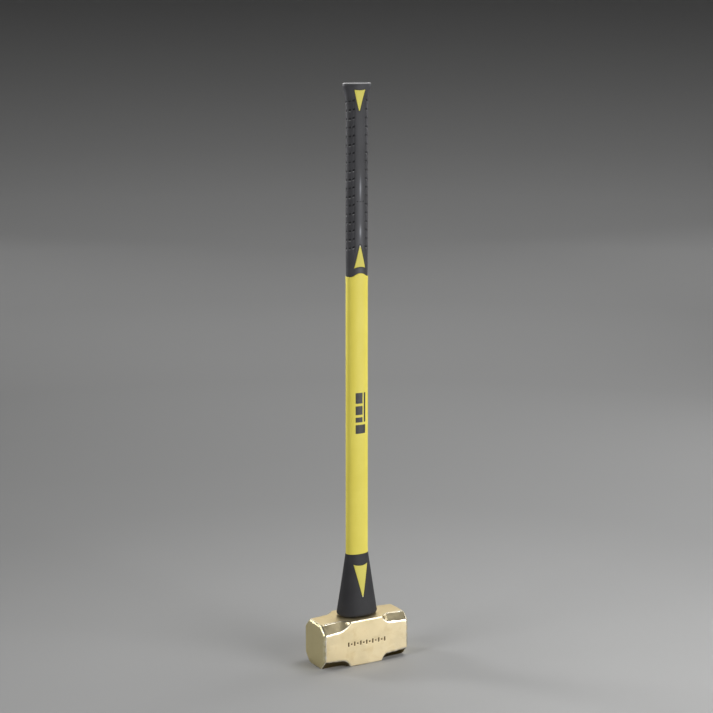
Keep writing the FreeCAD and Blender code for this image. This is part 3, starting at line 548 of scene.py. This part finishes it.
# ------------------------------------------------------------ yellow jacket
def build_jacket():
    n = 240 if SLOW else 120
    theta, perim = even_theta(18.8, 11.4, 2.08, n)
    X, Y, Z, kind = [], [], [], []

    def oval(z, a, b, e=2.0, k=0):
        x, y = superoval(a, b, e, theta)
        X.append(x); Y.append(y); Z.append(np.full(n, z) if np.isscalar(z) else z); kind.append(np.full(n, k))
        return x

    oval(905.0, 4.0, 2.2); oval(905.0, 14.5, 7.8)
    for z in np.linspace(880, 90, 12):
        oval(z, 14.5, 7.8)
    oval(77.7, 14.5, 7.8)
    oval(77.7, 29.4, 19.2); oval(80.0, 29.4, 19.2); oval(174.0, 17.1, 9.7)
    oval(176.0, 16.9, 9.6)
    # shaft, with a small rounded edge at each end
    a0, b0 = shaft_body(176, 1), shaft_body(176, 2)
    for k in np.linspace(0, 1, 6):
        t = k * math.pi / 2
        oval(176.0 + 0.9 * (1 - math.cos(t)), a0 - 0.9 * (1 - math.sin(t)), b0 - 0.9 * (1 - math.sin(t)), 2.08, 1)
    for z in np.concatenate([np.linspace(177.2, 190, 14), np.linspace(193, 601, 190 if SLOW else 90), np.linspace(603, 616.5, 16)]):
        oval(z, shaft_body(z, 1), shaft_body(z, 2), 2.08, 1)
    a1, b1 = shaft_body(619, 1), shaft_body(619, 2)
    x_edge, _ = superoval(a1, b1, 2.08, theta)
    top = grip_edge(x_edge)
    z_last = 616.5
    for f in np.linspace(0.15, 1, 8):
        z = z_last + (top - 0.8 - z_last) * f
        oval(z, shaft_body(618, 1), shaft_body(618, 2), 2.08, 1)
    for k in np.linspace(0.2, 1, 5):
        t = k * math.pi / 2
        oval(top - 0.8 + 0.8 * math.sin(t), a1 - 0.8 * (1 - math.cos(t)), b1 - 0.8 * (1 - math.cos(t)), 2.08, 1)
    oval(top - 0.02, 16.2, 9.2)
    oval(640.0, 16.2, 9.2)
    for z in np.linspace(700, 900, 5):
        oval(z, 16.2, 9.2)
    oval(908.4, 16.2, 9.2); oval(908.4, 5.0, 3.0)
    R = len(X)
    X, Y, Z, kind = map(np.concatenate, (X, Y, Z, kind))
    N = frame_of(X, Y, Z, R, n)
    mid = np.argmax(kind == 1) + 40 * n
    if (N[mid] @ np.array([X[mid], Y[mid], 0])) < 0:
        N = -N
    P = np.stack([X, Y, Z], -1)
    skin = (kind == 1) * smooth(Z, 179, 183) * (1 - smooth(Z, 609, 615))
    s = np.arange(n) / n * perim
    t_flank = np.abs(np.where(s < perim * 0.25, s, np.where(s < perim * 0.75, s - perim * 0.5, s - perim)))
    t_flank = np.tile(t_flank, R)
    seam = 0.07 * np.exp(-(t_flank / 0.45) ** 2)          # mould line along each flank
    disp = (0.05 * noise(P, 30, 51, (1, 1, 2.5)) + 0.02 * noise(P, 8, 52, (1, 1, 2)) + seam) * skin
    P = P + N * disp[:, None]
    c = np.arange(n)
    V = np.concatenate([P, [[0, 0, 905.0], [0, 0, 908.4]]])
    fan0 = np.stack([c, (c + 1) % n, np.full(n, len(P))], -1)
    fan1 = np.stack([(R - 1) * n + (c + 1) % n, (R - 1) * n + c, np.full(n, len(P) + 1)], -1)
    parts = [(V, [ring_grid(R, n), fan0, fan1])]
    # raised windows, flush with the rubber round them
    for key, spec in WINDOWS.items():
        for front in (-1.0, 1.0):
            parts.append(build_pad(key, spec, front))
    Vs, Fs, base = [], [], 0
    for V, F in parts:
        Vs.append(V)
        Fs += [np.asarray(f) + base for f in F]
        base += len(V)
    V = np.concatenate(Vs)
    pad = (np.arange(len(V)) >= len(parts[0][0])).astype(float)
    # painted glint: the tips of the guard and lower grip windows go near-white
    tip = np.maximum(0.6 * np.exp(-((V[:, 2] - 107.6) / 1.6) ** 2), np.exp(-((V[:, 2] - 667.2) / 1.8) ** 2)) * pad
    ob = make("jacket_plastic", V, Fs, {"pad": pad, "tip": tip})
    return outward(ob)


def build_pad(key, spec, front):
    zb, zt, w, dip, wt = spec["zb"], spec["zt"], spec["w"], spec["dip"], 1.0
    xoff = spec.get("xoff", 0.0)
    side = 1.0 if zt > zb else -1.0
    m, k = (70, 40) if SLOW else (40, 24)
    # outline shrunk by the gap, with a rounded border
    sv = np.concatenate([[-1.0, -0.985, -0.96, -0.92], np.linspace(-0.86, 0.86, k), [0.92, 0.96, 0.985, 1.0]])
    tv = np.concatenate([[0.0, 0.004, 0.010, 0.02], np.linspace(0.035, 0.965, m), [0.98, 0.99, 0.996, 1.0]])
    S, T = np.meshgrid(sv, tv, indexing="ij")
    gap = 0.10
    hw = (1 - T) * (w - gap) + T * (wt - gap)
    X = S * hw + xoff
    z_base = zb + side * (dip * (1 - S * S) + gap)
    z_tip = zt - side * (0.5 * S * S + gap)
    Z = (1 - T) * z_base + T * z_tip

    def surface(X, Z):
        if key == "g":
            a, b, e = guard_ab(Z)
        else:
            a, b, e = grip_body(Z, 1), grip_body(Z, 2), grip_body(Z, 3)
        return b * (1 - np.minimum(np.abs(X / a), 0.999) ** e) ** (1 / e)

    Yo = surface(X, Z)
    h = 0.05
    nx = -(surface(X + h, Z) - surface(X - h, Z)) / (2 * h)
    nz = -(surface(X, Z + h) - surface(X, Z - h)) / (2 * h)
    L = np.sqrt(nx * nx + 1 + nz * nz)
    N = np.stack([nx / L, 1 / L, nz / L], -1)
    edge_s = hw * (1 - np.abs(S))
    edge_t = np.minimum(np.abs(Z - z_base), np.abs(Z - z_tip))
    e = np.minimum(edge_s, edge_t)
    fall = 0.35 * (1 - np.clip(e / 0.6, 0, 1)) ** 2
    P0 = np.stack([X, Yo, Z], -1)
    outer = P0 + N * (0.03 - fall)[..., None]
    inner = P0 - N * 1.05
    if front < 0:
        outer = outer * np.array([1, -1, 1]); inner = inner * np.array([1, -1, 1])
    A, B = outer.shape[:2]
    V = np.concatenate([outer.reshape(-1, 3), inner.reshape(-1, 3)])
    I = np.arange(A * B).reshape(A, B)
    q = np.stack([I[:-1, :-1], I[1:, :-1], I[1:, 1:], I[:-1, 1:]], -1).reshape(-1, 4)
    rim = np.concatenate([I[:, 0], I[-1, 1:], I[-2::-1, -1], I[0, -2:0:-1]])
    nxt = np.roll(rim, -1)
    walls = np.stack([rim, nxt, nxt + A * B, rim + A * B], -1)
    return V, [q, q[:, ::-1] + A * B, walls]


# ---------------------------------------------------------------- materials
class Mat:
    """A node material with a short way of wiring nodes."""

    def __init__(self, name):
        self.m = bpy.data.materials.new(name)
        self.m.use_nodes = True
        self.t = self.m.node_tree
        self.t.nodes.clear()
        self.out = self.t.nodes.new("ShaderNodeOutputMaterial")
        self.b = self.t.nodes.new("ShaderNodeBsdfPrincipled")
        self.t.links.new(self.b.outputs[0], self.out.inputs[0])
        self.co = self.t.nodes.new("ShaderNodeTexCoord").outputs["Object"]

    def node(self, kind, **inputs):
        n = self.t.nodes.new(kind)
        for key, value in inputs.items():
            key = key.replace("_", " ")
            if isinstance(value, bpy.types.NodeSocket):
                self.t.links.new(value, n.inputs[key])
            else:
                n.inputs[key].default_value = value
        return n

    def set(self, socket, value):
        if isinstance(value, bpy.types.NodeSocket):
            self.t.links.new(value, self.b.inputs[socket])
        else:
            self.b.inputs[socket].default_value = value

    def scaled(self, sx, sy, sz, rot=(0, 0, 0)):
        n = self.t.nodes.new("ShaderNodeMapping")
        n.inputs["Scale"].default_value = (sx, sy, sz)
        n.inputs["Rotation"].default_value = rot
        self.t.links.new(self.co, n.inputs["Vector"])
        return n.outputs[0]

    def noise(self, scale, detail=3.0, rough=0.5, vector=None, distortion=0.0):
        n = self.node("ShaderNodeTexNoise", Scale=scale, Detail=detail, Roughness=rough, Distortion=distortion)
        self.t.links.new(vector or self.co, n.inputs["Vector"])
        return n.outputs["Fac"]

    def ramp(self, fac, stops):
        n = self.t.nodes.new("ShaderNodeValToRGB")
        self.t.links.new(fac, n.inputs[0])
        el = n.color_ramp.elements
        while len(el) < len(stops):
            el.new(0.5)
        for e, (p, c) in zip(el, stops):
            e.position = p
            e.color = c if len(c) == 4 else (*c, 1.0)
        return n.outputs[0]

    def value(self, fac, lo, hi, a=0.0, b=1.0):
        n = self.node("ShaderNodeMapRange")
        self.t.links.new(fac, n.inputs[0])
        for i, v in enumerate((a, b, lo, hi)):
            n.inputs[1 + i].default_value = v
        return n.outputs[0]

    def mix(self, fac, a, b, mode="MIX"):
        n = self.t.nodes.new("ShaderNodeMix")
        n.data_type = "RGBA"
        n.blend_type = mode
        for key, v in ((0, fac), (6, a), (7, b)):
            if isinstance(v, bpy.types.NodeSocket):
                self.t.links.new(v, n.inputs[key])
            else:
                n.inputs[key].default_value = v if key == 0 else (*v, 1.0)
        return n.outputs[2]

    def math(self, op, a, b=0.0):
        n = self.t.nodes.new("ShaderNodeMath")
        n.operation = op
        for i, v in enumerate((a, b)):
            if isinstance(v, bpy.types.NodeSocket):
                self.t.links.new(v, n.inputs[i])
            else:
                n.inputs[i].default_value = v
        return n.outputs[0]

    def attr(self, name):
        n = self.t.nodes.new("ShaderNodeAttribute")
        n.attribute_name = name
        return n.outputs["Fac"]

    def bump(self, *layers):
        """Layers of (height, distance in mm, strength)."""
        normal = None
        for height, dist, strength in layers:
            n = self.node("ShaderNodeBump", Strength=strength, Distance=dist * MM)
            self.t.links.new(height, n.inputs["Height"])
            if normal is not None:
                self.t.links.new(normal, n.inputs["Normal"])
            normal = n.outputs[0]
        self.t.links.new(normal, self.b.inputs["Normal"])


def brass():
    m = Mat("brass_ground")
    broad = m.noise(14.0, 4.0, 0.55)
    blotch = m.noise(60.0, 5.0, 0.6, distortion=0.6)
    col = m.ramp(broad, [(0.30, (0.80, 0.675, 0.42)), (0.55, (0.85, 0.725, 0.47)), (0.75, (0.88, 0.765, 0.52))])
    flat, end_face_shade, painted_under_shade, wear_and_edge_highlight = m.attr("flat"), m.attr("end_face_shade"), m.attr("painted_under_shade"), m.attr("wear_and_edge_highlight")
    stain = m.ramp(blotch, [(0.50, (1, 1, 1)), (0.72, (0.90, 0.86, 0.76))])
    col = m.mix(m.value(end_face_shade, 0.85, 0.25), col, stain, "MULTIPLY")
    # painted shade: both striking faces get a darker, greener brass
    col = m.mix(m.value(end_face_shade, 0.0, 0.85), col, (0.77, 0.70, 0.425))
    # the flats darker: partly a forged skin, partly painted shade
    flat_skin_and_shade = m.ramp(m.noise(75.0, 4.0, 0.65), [(0.3, (0.60, 0.51, 0.31)), (0.7, (0.78, 0.68, 0.44))])
    col = m.mix(m.value(flat, 0.0, 0.80), col, flat_skin_and_shade)
    # painted shade on the lower flats: dark colours for the shadowed floor they reflect
    col = m.mix(m.value(painted_under_shade, 0.0, 0.88, 0.0, 0.5), col, (0.115, 0.090, 0.052))
    col = m.mix(m.value(painted_under_shade, 0.0, 0.72, 0.5, 1.0), col, (0.022, 0.018, 0.012))
    pits = m.noise(420.0, 3.0, 0.6)
    specks = m.value(pits, 0.0, 0.5, 0.66, 0.76)
    col = m.mix(specks, col, (0.50, 0.38, 0.18))
    # painted highlight along the edges, partly real polish wear: near-white brass
    col = m.mix(m.value(wear_and_edge_highlight, 0.0, 0.85, 0.20, 0.75), col, (0.99, 0.94, 0.80))
    mark = m.attr("mark")
    col = m.mix(m.value(mark, 0.0, 0.95, 0.03, 0.55), col, (0.13, 0.080, 0.035))
    m.set("Base Color", col)
    m.set("Metallic", 1.0)
    m.b.inputs["Specular Tint"].default_value = (0.70, 0.60, 0.42, 1.0)
    lines = m.noise(1.0, 3.0, 0.6, m.scaled(60, 1500, 1500))
    cross = m.noise(1.0, 3.0, 0.6, m.scaled(1400, 160, 160))
    grain = m.noise(900.0, 3.0, 0.6)
    rough = m.value(m.noise(38.0, 4.0, 0.6), 0.40, 0.54, 0.3, 0.7)
    rough = m.math("SUBTRACT", rough, m.math("MULTIPLY", flat, 0.10))
    rough = m.math("SUBTRACT", rough, m.math("MULTIPLY", wear_and_edge_highlight, 0.14))
    rough = m.math("SUBTRACT", rough, m.math("MULTIPLY", painted_under_shade, 0.14))
    rough = m.math("ADD", rough, m.math("MULTIPLY", mark, 0.25))
    m.set("Roughness", rough)
    m.bump((m.math("MULTIPLY", cross, flat), 0.25, 0.6), (lines, 0.05, 0.35), (grain, 0.03, 0.25), (m.noise(110.0, 3.0, 0.5), 0.14, 0.30), (m.math("MULTIPLY", specks, -1.0), 0.15, 0.6))
    return m.m


def yellow():
    m = Mat("jacket_yellow")
    col = m.ramp(m.noise(22.0, 4.0, 0.55), [(0.3, (0.735, 0.63, 0.092)), (0.7, (0.79, 0.685, 0.118))])
    scuff = m.noise(1.0, 4.0, 0.65, m.scaled(420, 420, 60))
    col = m.mix(m.value(scuff, 0.0, 0.22, 0.60, 0.78), col, (0.70, 0.62, 0.16))
    col = m.mix(m.value(m.attr("pad"), 0.0, 1.0), col, (0.86, 0.89, 1.0), "MULTIPLY")
    # painted glint at the pad tips
    col = m.mix(m.value(m.attr("tip"), 0.0, 0.85), col, (0.93, 0.92, 0.88))
    m.set("Base Color", col)
    m.set("Roughness", m.value(m.noise(60.0, 4.0, 0.6), 0.42, 0.54, 0.3, 0.7))
    m.set("Specular IOR Level", 0.30)
    m.set("IOR", 1.49)
    m.bump((m.noise(620.0, 2.0, 0.5), 0.03, 0.25), (m.noise(90.0, 2.0, 0.5), 0.08, 0.15))
    return m.m


def rubber(name, lo, hi, rough_lo, rough_hi, spec, grips=False):
    m = Mat(name)
    col = m.ramp(m.noise(35.0, 4.0, 0.6), [(0.3, lo), (0.7, hi)])
    dust = m.noise(170.0, 5.0, 0.7)
    col = m.mix(m.value(dust, 0.0, 0.25, 0.60, 0.80), col, tuple(min(1, c * 1.9) for c in hi))
    if grips:
        # painted shade in the grooves: near-black
        col = m.mix(m.value(m.attr("painted_groove_shade"), 0.0, 0.95, 0.0, 0.8), col, (0.004, 0.004, 0.005))
        # painted highlight on the groove lips
        col = m.mix(m.value(m.attr("lip"), 0.0, 0.60), col, (0.26, 0.26, 0.26))
        # painted highlight: lighter grey spots on the front panel
        col = m.mix(m.value(m.attr("painted_highlight"), 0.0, 0.80), col, (0.36, 0.37, 0.40))
        # painted highlight on the butt rim
        col = m.mix(m.value(m.attr("rim"), 0.0, 0.90), col, (0.66, 0.66, 0.66))
    m.set("Base Color", col)
    m.set("Roughness", m.value(m.noise(70.0, 4.0, 0.6), rough_lo, rough_hi, 0.3, 0.7))
    m.set("IOR", 1.5)
    m.set("Specular IOR Level", spec)
    fine = m.noise(1500.0, 2.0, 0.5)
    m.bump((fine, 0.05, 0.35), (m.noise(260.0, 3.0, 0.6), 0.05, 0.25))
    return m.m


def ink():
    m = Mat("ink_print")
    m.set("Base Color", m.ramp(m.noise(300.0, 4.0, 0.6), [(0.35, (0.012, 0.012, 0.014)), (0.75, (0.030, 0.030, 0.030))]))
    m.set("Roughness", m.value(m.noise(500.0, 3.0, 0.6), 0.38, 0.55, 0.3, 0.7))
    m.bump((m.noise(900.0, 2.0, 0.5), 0.02, 0.2))
    return m.m


def resin():
    m = Mat("bond_resin")
    m.set("Base Color", m.ramp(m.noise(120.0, 4.0, 0.6), [(0.3, (0.020, 0.020, 0.018)), (0.7, (0.055, 0.050, 0.040))]))
    m.set("Roughness", m.value(m.noise(200.0, 3.0, 0.6), 0.14, 0.38, 0.3, 0.7))
    m.bump((m.noise(60.0, 2.0, 0.5), 0.5, 0.4), (m.noise(700.0, 2.0, 0.5), 0.04, 0.3))
    return m.m


def fibre():
    m = Mat("rod_fibreglass")
    ends = m.node("ShaderNodeTexVoronoi", Scale=2600.0).outputs["Distance"]
    col = m.ramp(ends, [(0.1, (0.62, 0.60, 0.43)), (0.6, (0.34, 0.32, 0.17))])
    col = m.mix(m.value(m.noise(90.0, 4.0, 0.6), 0.0, 0.5, 0.4, 0.7), col, (0.42, 0.37, 0.20))
    m.set("Base Color", col)
    m.set("Roughness", m.value(m.noise(300.0, 3.0, 0.6), 0.5, 0.7, 0.3, 0.7))
    m.bump((ends, 0.05, 0.4), (m.noise(1.0, 3.0, 0.6, m.scaled(2500, 2500, 20)), 0.04, 0.3))
    return m.m


BRASS, YELLOW, INK, RESIN, FIBRE = brass(), yellow(), ink(), resin(), fibre()
GRIP = rubber("grip_black", (0.044, 0.044, 0.047), (0.058, 0.058, 0.063), 0.38, 0.54, 0.16, grips=True)
GUARD = rubber("guard_black", (0.034, 0.034, 0.036), (0.044, 0.043, 0.046), 0.44, 0.58, 0.14)
DAM = rubber("dam_black", (0.020, 0.020, 0.020), (0.035, 0.035, 0.034), 0.6, 0.8, 0.3)


def piece(ob, material, node):
    ob.data.materials.clear()
    ob.data.materials.append(material)
    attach(ob, "root")
    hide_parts(node)
    return ob


piece(build_head(), BRASS, "head")
piece(build_guard(), GUARD, "overstrike_guard")
piece(build_grip(), GRIP, "grip")
piece(build_jacket(), YELLOW, "handle_jacket")

for node, material in (("eye_epoxy", RESIN), ("eye_dam", DAM), ("core_rod", FIBRE), ("printed_mark", INK)):
    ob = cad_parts[node]
    for s in ob.material_slots:
        s.material = material

# ---------------------------------------------------------- floor and light
def paper_dish():
    """Pale studio floor: flat under the hammer, swept up into a wall all round."""
    flat_r, bend_r = 2.3, 3.4
    prof = [(r, 0.0) for r in (0.05, 0.15, 0.3, 0.6, 1.0, 1.5, 2.0, flat_r)]
    for k in range(1, 33):
        t = k / 32 * math.pi / 2
        prof.append((flat_r + bend_r * math.sin(t), bend_r * (1 - math.cos(t))))
    prof.append((flat_r + bend_r, 6.0))
    n = 96
    vs = [(r * math.cos(2 * math.pi * i / n), r * math.sin(2 * math.pi * i / n), z) for r, z in prof for i in range(n)]
    vs.append((0.0, 0.0, 0.0))
    fs = ring_grid(len(prof), n).tolist() + [(i, (i + 1) % n, len(vs) - 1) for i in range(n)]
    me = bpy.data.meshes.new("paper_dish")
    me.from_pydata(vs, [], fs)
    me.polygons.foreach_set("use_smooth", np.ones(len(fs), bool))
    ob = bpy.data.objects.new("paper_dish", me)
    SC.collection.objects.link(ob)
    outward(ob)
    m = Mat("paper")
    height = m.t.nodes.new("ShaderNodeSeparateXYZ")
    m.t.links.new(m.co, height.inputs[0])
    far = m.node("ShaderNodeVectorMath")
    far.operation = "LENGTH"
    flatten = m.node("ShaderNodeVectorMath")
    flatten.operation = "MULTIPLY"
    flatten.inputs[1].default_value = (1.0, 1.0, 0.0)
    m.t.links.new(m.co, flatten.inputs[0])
    m.t.links.new(flatten.outputs[0], far.inputs[0])
    along = m.math("MULTIPLY", m.math("ADD", far.outputs["Value"], height.outputs[2]), 1 / 7.0)
    # painted light and shade: the grey ramps with distance and height in place of the lamps' falloff
    shade = m.ramp(along, [(p / 7.0, (v, v, v * 0.995)) for p, v in PAINTED_FALLOFF])
    m.set("Base Color", m.mix(m.value(m.noise(2.0, 3.0, 0.5), 0.0, 0.06), shade, (0.5, 0.5, 0.5)))
    m.set("Roughness", 0.85)
    m.b.inputs["Specular IOR Level"].default_value = 0.2
    me.materials.append(m.m)


# painted light and shade on the paper, in place of the lamps' falloff: outwards along the floor and up the wall,
# metres, grey value
PAINTED_FALLOFF = [(0.0, 0.42), (0.25, 0.42), (0.4, 0.436), (0.65, 0.43), (0.94, 0.405), (1.28, 0.405), (1.69, 0.42), (2.18, 0.445), (2.69, 0.527), (3.13, 0.62), (3.45, 0.74), (3.68, 0.83), (4.13, 0.745), (4.55, 0.60), (4.8, 0.53), (5.1, 0.44), (5.46, 0.34), (5.74, 0.265), (6.3, 0.2)]
paper_dish()


def area(name, where, aim, size, power, colour=(1, 1, 1), size_y=None):
    L = bpy.data.lights.new(name, "AREA")
    L.energy, L.color = power, colour
    L.shape, L.size, L.size_y = "RECTANGLE", size, size_y or size
    ob = bpy.data.objects.new(name, L)
    SC.collection.objects.link(ob)
    ob.location = where
    ob.rotation_euler = (Vector(aim) - Vector(where)).to_track_quat("-Z", "Y").to_euler()
    ob.visible_camera = False
    return ob


def around(side, back, z):
    """A place given across and behind the camera's line through the hammer."""
    return (side * math.cos(YAW) + back * math.sin(YAW), -side * math.sin(YAW) + back * math.cos(YAW), z)


# soft box low at the front right, from the floor to chest height
area("key", around(1.75, -1.05, 0.95), (0, 0, 0.35), 1.3, 27.5, size_y=1.3)
# long card on the floor at the front right, for the cheek of the head
area("card", around(1.30, -0.80, 0.17), (0, 0, 0.10), 1.2, 6.5, size_y=0.30)
# soft box at the left, over the shoulder
area("left", around(-1.55, -1.15, 1.35), (0, 0, 0.55), 0.8, 17.5)
# soft box high behind, just out of the frame
area("back", around(-0.1, 2.6, 1.75), (0, 0, 0.3), 2.4, 16.5, size_y=1.1)
# soft box overhead, towards the right
area("top", around(0.72, 0.55, 2.2), (0, 0, 0.1), 0.8, 12.5)
# small box at the back right, for the edges and the shadow to the left
area("side", around(1.75, 1.35, 1.0), (0, 0, 0.1), 0.6, 7.5)
# wash for the sweep behind
area("wash", around(0.7, 2.6, 1.9), around(0.7, 3.9, 0.25), 3.0, 3.2, size_y=0.6)
# strip at the left, behind
rim = area("rim", around(-1.7, 0.7, 1.3), (0, 0, 0.86), 0.5, 3.6, size_y=0.9)
rim.data.spread = math.radians(50)
world = bpy.data.worlds.new("studio")
world.use_nodes = True
world.node_tree.nodes["Background"].inputs[0].default_value = (1, 1, 1, 1)
world.node_tree.nodes["Background"].inputs[1].default_value = 0.05
SC.world = world
